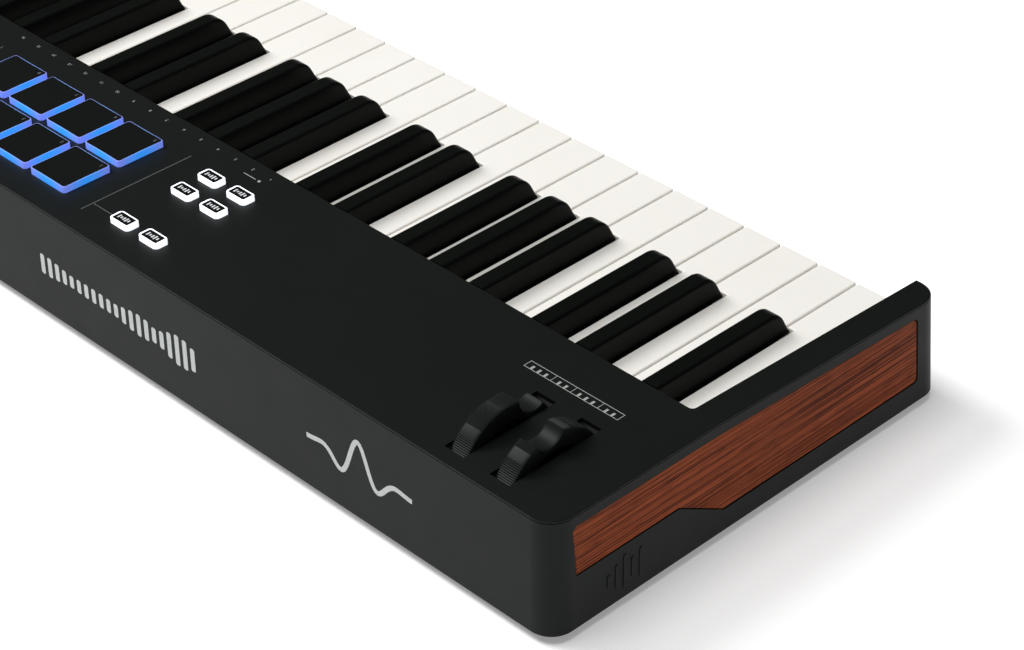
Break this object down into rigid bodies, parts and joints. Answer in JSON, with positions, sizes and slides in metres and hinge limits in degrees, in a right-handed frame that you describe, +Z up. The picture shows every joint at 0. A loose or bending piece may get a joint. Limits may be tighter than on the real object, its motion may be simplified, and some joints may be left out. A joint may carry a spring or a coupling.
{
  "type": "synthesizer",
  "caption": "Full-size digital keyboard instrument with hinged piano keys, pitch and modulation wheels, lit pads and buttons, knobs, faders and wooden end inlays.",
  "frame": {"origin": "middle of the footprint, on the surface that the feet stand on", "axes": "+X towards the treble end, +Y towards the rear wall, +Z up; the player sits at -Y"},
  "size_m": [1.252, 0.2639, 0.0825],
  "materials": {
    "case_plastic": "fine satin texture",
    "panel_metal": "satin powder coat",
    "end_wood": "open pore, oiled",
    "white_key": "semi gloss",
    "black_key": "satin",
    "wheel_plastic": "ribbed satin",
    "pad_rubber": "translucent, lit from inside, black printed face",
    "button_rubber": "translucent, lit from inside, black printed face",
    "knob_plastic": "satin",
    "fader_plastic": "satin",
    "screen_lens": "gloss",
    "steel": "zinc plated",
    "frame_plastic": "moulded",
    "board_green": "solder mask",
    "contact_silicone": "silicone",
    "spring_steel": "spring steel",
    "foot_rubber": "matt",
    "socket_plastic": "moulded",
    "pot_metal": "stamped"
  },
  "bodies": {
    "case": {"bottom_case": "case_plastic", "top_panel": "panel_metal", "left_wood_inlay": "end_wood", "right_wood_inlay": "end_wood", "keybed_frame": "frame_plastic", "key_pivot_rod": "steel", "key_spring_strip": "spring_steel", "key_contact_strip": "contact_silicone", "key_contact_board": "board_green", "panel_board": "board_green", "main_board": "board_green", "control_pots": "pot_metal", "rear_sockets": "socket_plastic", "wheel_housing": "frame_plastic", "pitch_spring": "spring_steel", "display_window": "screen_lens", "case_screws": "steel", "rubber_feet": "foot_rubber"},
    "keys_c": {"keys_c": "white_key"},
    "keys_d": {"keys_d": "white_key"},
    "keys_e": {"keys_e": "white_key"},
    "keys_f": {"keys_f": "white_key"},
    "keys_g": {"keys_g": "white_key"},
    "keys_a": {"keys_a": "white_key"},
    "keys_b": {"keys_b": "white_key"},
    "keys_c_sharp": {"keys_c_sharp": "black_key"},
    "keys_d_sharp": {"keys_d_sharp": "black_key"},
    "keys_f_sharp": {"keys_f_sharp": "black_key"},
    "keys_g_sharp": {"keys_g_sharp": "black_key"},
    "keys_a_sharp": {"keys_a_sharp": "black_key"},
    "mod_wheel": {"mod_wheel": "wheel_plastic"},
    "pitch_wheel": {"pitch_wheel": "wheel_plastic"},
    "pad_1": {"pad_1": "pad_rubber"},
    "pad_2": {"pad_2": "pad_rubber"},
    "pad_3": {"pad_3": "pad_rubber"},
    "pad_4": {"pad_4": "pad_rubber"},
    "pad_5": {"pad_5": "pad_rubber"},
    "pad_6": {"pad_6": "pad_rubber"},
    "pad_7": {"pad_7": "pad_rubber"},
    "pad_8": {"pad_8": "pad_rubber"},
    "command_button_1": {"command_button_1": "button_rubber"},
    "command_button_2": {"command_button_2": "button_rubber"},
    "command_button_3": {"command_button_3": "button_rubber"},
    "command_button_4": {"command_button_4": "button_rubber"},
    "part_button": {"part_button": "button_rubber"},
    "bank_button": {"bank_button": "button_rubber"},
    "screen_buttons": {"screen_buttons": "button_rubber"},
    "transport_buttons": {"transport_buttons": "button_rubber"},
    "knob_1": {"knob_1": "knob_plastic"},
    "knob_2": {"knob_2": "knob_plastic"},
    "knob_3": {"knob_3": "knob_plastic"},
    "knob_4": {"knob_4": "knob_plastic"},
    "knob_5": {"knob_5": "knob_plastic"},
    "knob_6": {"knob_6": "knob_plastic"},
    "knob_7": {"knob_7": "knob_plastic"},
    "knob_8": {"knob_8": "knob_plastic"},
    "knob_9": {"knob_9": "knob_plastic"},
    "encoder_knob": {"encoder_knob": "knob_plastic"},
    "encoder_shaft": {"encoder_shaft": "steel"},
    "fader_caps": {"fader_caps": "fader_plastic"}
  },
  "joints": [
    {"name": "keys_c_press", "type": "hinge", "parent": "case", "child": "keys_c", "pos_m": [0, 0.0567, 0.046], "axis": [1, 0, 0], "range_deg": [0, 3.3], "stiffness_Nm_per_rad": 5, "springref_deg": -9.17},
    {"name": "keys_d_press", "type": "hinge", "parent": "case", "child": "keys_d", "pos_m": [0, 0.0567, 0.046], "axis": [1, 0, 0], "range_deg": [0, 3.3], "stiffness_Nm_per_rad": 5, "springref_deg": -9.17},
    {"name": "keys_e_press", "type": "hinge", "parent": "case", "child": "keys_e", "pos_m": [0, 0.0567, 0.046], "axis": [1, 0, 0], "range_deg": [0, 3.3], "stiffness_Nm_per_rad": 5, "springref_deg": -9.17},
    {"name": "keys_f_press", "type": "hinge", "parent": "case", "child": "keys_f", "pos_m": [0, 0.0567, 0.046], "axis": [1, 0, 0], "range_deg": [0, 3.3], "stiffness_Nm_per_rad": 5, "springref_deg": -9.17},
    {"name": "keys_g_press", "type": "hinge", "parent": "case", "child": "keys_g", "pos_m": [0, 0.0567, 0.046], "axis": [1, 0, 0], "range_deg": [0, 3.3], "stiffness_Nm_per_rad": 5, "springref_deg": -9.17},
    {"name": "keys_a_press", "type": "hinge", "parent": "case", "child": "keys_a", "pos_m": [0, 0.0567, 0.046], "axis": [1, 0, 0], "range_deg": [0, 3.3], "stiffness_Nm_per_rad": 5, "springref_deg": -9.17},
    {"name": "keys_b_press", "type": "hinge", "parent": "case", "child": "keys_b", "pos_m": [0, 0.0567, 0.046], "axis": [1, 0, 0], "range_deg": [0, 3.3], "stiffness_Nm_per_rad": 5, "springref_deg": -9.17},
    {"name": "keys_c_sharp_press", "type": "hinge", "parent": "case", "child": "keys_c_sharp", "pos_m": [0, 0.0567, 0.046], "axis": [1, 0, 0], "range_deg": [0, 3.3], "stiffness_Nm_per_rad": 5, "springref_deg": -9.17},
    {"name": "keys_d_sharp_press", "type": "hinge", "parent": "case", "child": "keys_d_sharp", "pos_m": [0, 0.0567, 0.046], "axis": [1, 0, 0], "range_deg": [0, 3.3], "stiffness_Nm_per_rad": 5, "springref_deg": -9.17},
    {"name": "keys_f_sharp_press", "type": "hinge", "parent": "case", "child": "keys_f_sharp", "pos_m": [0, 0.0567, 0.046], "axis": [1, 0, 0], "range_deg": [0, 3.3], "stiffness_Nm_per_rad": 5, "springref_deg": -9.17},
    {"name": "keys_g_sharp_press", "type": "hinge", "parent": "case", "child": "keys_g_sharp", "pos_m": [0, 0.0567, 0.046], "axis": [1, 0, 0], "range_deg": [0, 3.3], "stiffness_Nm_per_rad": 5, "springref_deg": -9.17},
    {"name": "keys_a_sharp_press", "type": "hinge", "parent": "case", "child": "keys_a_sharp", "pos_m": [0, 0.0567, 0.046], "axis": [1, 0, 0], "range_deg": [0, 3.3], "stiffness_Nm_per_rad": 5, "springref_deg": -9.17},
    {"name": "pitch_wheel_turn", "type": "hinge", "parent": "case", "child": "pitch_wheel", "pos_m": [-0.5867, 0.0957, 0.0507], "axis": [-1, 0, 0], "range_deg": [-30, 30], "stiffness_Nm_per_rad": 0.06},
    {"name": "mod_wheel_turn", "type": "hinge", "parent": "case", "child": "mod_wheel", "pos_m": [-0.5589, 0.0957, 0.0507], "axis": [-1, 0, 0], "range_deg": [0, 60]},
    {"name": "pad_1_press", "type": "slide", "parent": "case", "child": "pad_1", "axis": [0, 0, -1], "range_m": [0, 0.001], "stiffness_N_per_m": 2500, "springref_m": -0.0004},
    {"name": "pad_2_press", "type": "slide", "parent": "case", "child": "pad_2", "axis": [0, 0, -1], "range_m": [0, 0.001], "stiffness_N_per_m": 2500, "springref_m": -0.0004},
    {"name": "pad_3_press", "type": "slide", "parent": "case", "child": "pad_3", "axis": [0, 0, -1], "range_m": [0, 0.001], "stiffness_N_per_m": 2500, "springref_m": -0.0004},
    {"name": "pad_4_press", "type": "slide", "parent": "case", "child": "pad_4", "axis": [0, 0, -1], "range_m": [0, 0.001], "stiffness_N_per_m": 2500, "springref_m": -0.0004},
    {"name": "pad_5_press", "type": "slide", "parent": "case", "child": "pad_5", "axis": [0, 0, -1], "range_m": [0, 0.001], "stiffness_N_per_m": 2500, "springref_m": -0.0004},
    {"name": "pad_6_press", "type": "slide", "parent": "case", "child": "pad_6", "axis": [0, 0, -1], "range_m": [0, 0.001], "stiffness_N_per_m": 2500, "springref_m": -0.0004},
    {"name": "pad_7_press", "type": "slide", "parent": "case", "child": "pad_7", "axis": [0, 0, -1], "range_m": [0, 0.001], "stiffness_N_per_m": 2500, "springref_m": -0.0004},
    {"name": "pad_8_press", "type": "slide", "parent": "case", "child": "pad_8", "axis": [0, 0, -1], "range_m": [0, 0.001], "stiffness_N_per_m": 2500, "springref_m": -0.0004},
    {"name": "command_button_1_press", "type": "slide", "parent": "case", "child": "command_button_1", "axis": [0, 0, -1], "range_m": [0, 0.0008], "stiffness_N_per_m": 1500, "springref_m": -0.0004},
    {"name": "command_button_2_press", "type": "slide", "parent": "case", "child": "command_button_2", "axis": [0, 0, -1], "range_m": [0, 0.0008], "stiffness_N_per_m": 1500, "springref_m": -0.0004},
    {"name": "command_button_3_press", "type": "slide", "parent": "case", "child": "command_button_3", "axis": [0, 0, -1], "range_m": [0, 0.0008], "stiffness_N_per_m": 1500, "springref_m": -0.0004},
    {"name": "command_button_4_press", "type": "slide", "parent": "case", "child": "command_button_4", "axis": [0, 0, -1], "range_m": [0, 0.0008], "stiffness_N_per_m": 1500, "springref_m": -0.0004},
    {"name": "part_button_press", "type": "slide", "parent": "case", "child": "part_button", "axis": [0, 0, -1], "range_m": [0, 0.0008], "stiffness_N_per_m": 1500, "springref_m": -0.0004},
    {"name": "bank_button_press", "type": "slide", "parent": "case", "child": "bank_button", "axis": [0, 0, -1], "range_m": [0, 0.0008], "stiffness_N_per_m": 1500, "springref_m": -0.0004},
    {"name": "screen_buttons_press", "type": "slide", "parent": "case", "child": "screen_buttons", "axis": [0, 0, -1], "range_m": [0, 0.0008], "stiffness_N_per_m": 9000, "springref_m": -0.0004},
    {"name": "transport_buttons_press", "type": "slide", "parent": "case", "child": "transport_buttons", "axis": [0, 0, -1], "range_m": [0, 0.0008], "stiffness_N_per_m": 12000, "springref_m": -0.0004},
    {"name": "knob_1_turn", "type": "hinge", "parent": "case", "child": "knob_1", "pos_m": [0.149, 0.1077, 0.0675], "axis": [0, 0, -1], "range_deg": [-150, 150]},
    {"name": "knob_2_turn", "type": "hinge", "parent": "case", "child": "knob_2", "pos_m": [0.178, 0.1077, 0.0675], "axis": [0, 0, -1], "range_deg": [-150, 150]},
    {"name": "knob_3_turn", "type": "hinge", "parent": "case", "child": "knob_3", "pos_m": [0.207, 0.1077, 0.0675], "axis": [0, 0, -1], "range_deg": [-150, 150]},
    {"name": "knob_4_turn", "type": "hinge", "parent": "case", "child": "knob_4", "pos_m": [0.236, 0.1077, 0.0675], "axis": [0, 0, -1], "range_deg": [-150, 150]},
    {"name": "knob_5_turn", "type": "hinge", "parent": "case", "child": "knob_5", "pos_m": [0.265, 0.1077, 0.0675], "axis": [0, 0, -1], "range_deg": [-150, 150]},
    {"name": "knob_6_turn", "type": "hinge", "parent": "case", "child": "knob_6", "pos_m": [0.294, 0.1077, 0.0675], "axis": [0, 0, -1], "range_deg": [-150, 150]},
    {"name": "knob_7_turn", "type": "hinge", "parent": "case", "child": "knob_7", "pos_m": [0.323, 0.1077, 0.0675], "axis": [0, 0, -1], "range_deg": [-150, 150]},
    {"name": "knob_8_turn", "type": "hinge", "parent": "case", "child": "knob_8", "pos_m": [0.352, 0.1077, 0.0675], "axis": [0, 0, -1], "range_deg": [-150, 150]},
    {"name": "knob_9_turn", "type": "hinge", "parent": "case", "child": "knob_9", "pos_m": [0.381, 0.1077, 0.0675], "axis": [0, 0, -1], "range_deg": [-150, 150]},
    {"name": "encoder_push", "type": "slide", "parent": "case", "child": "encoder_shaft", "axis": [0, 0, -1], "range_m": [0, 0.0006], "stiffness_N_per_m": 4000, "springref_m": -0.0005},
    {"name": "encoder_turn", "type": "hinge", "parent": "encoder_shaft", "child": "encoder_knob", "pos_m": [-0.018, 0.0937, 0.0675], "axis": [0, 0, -1], "continuous": true},
    {"name": "faders_slide", "type": "slide", "parent": "case", "child": "fader_caps", "axis": [0, 1, 0], "range_m": [0, 0.03]}
  ]
}
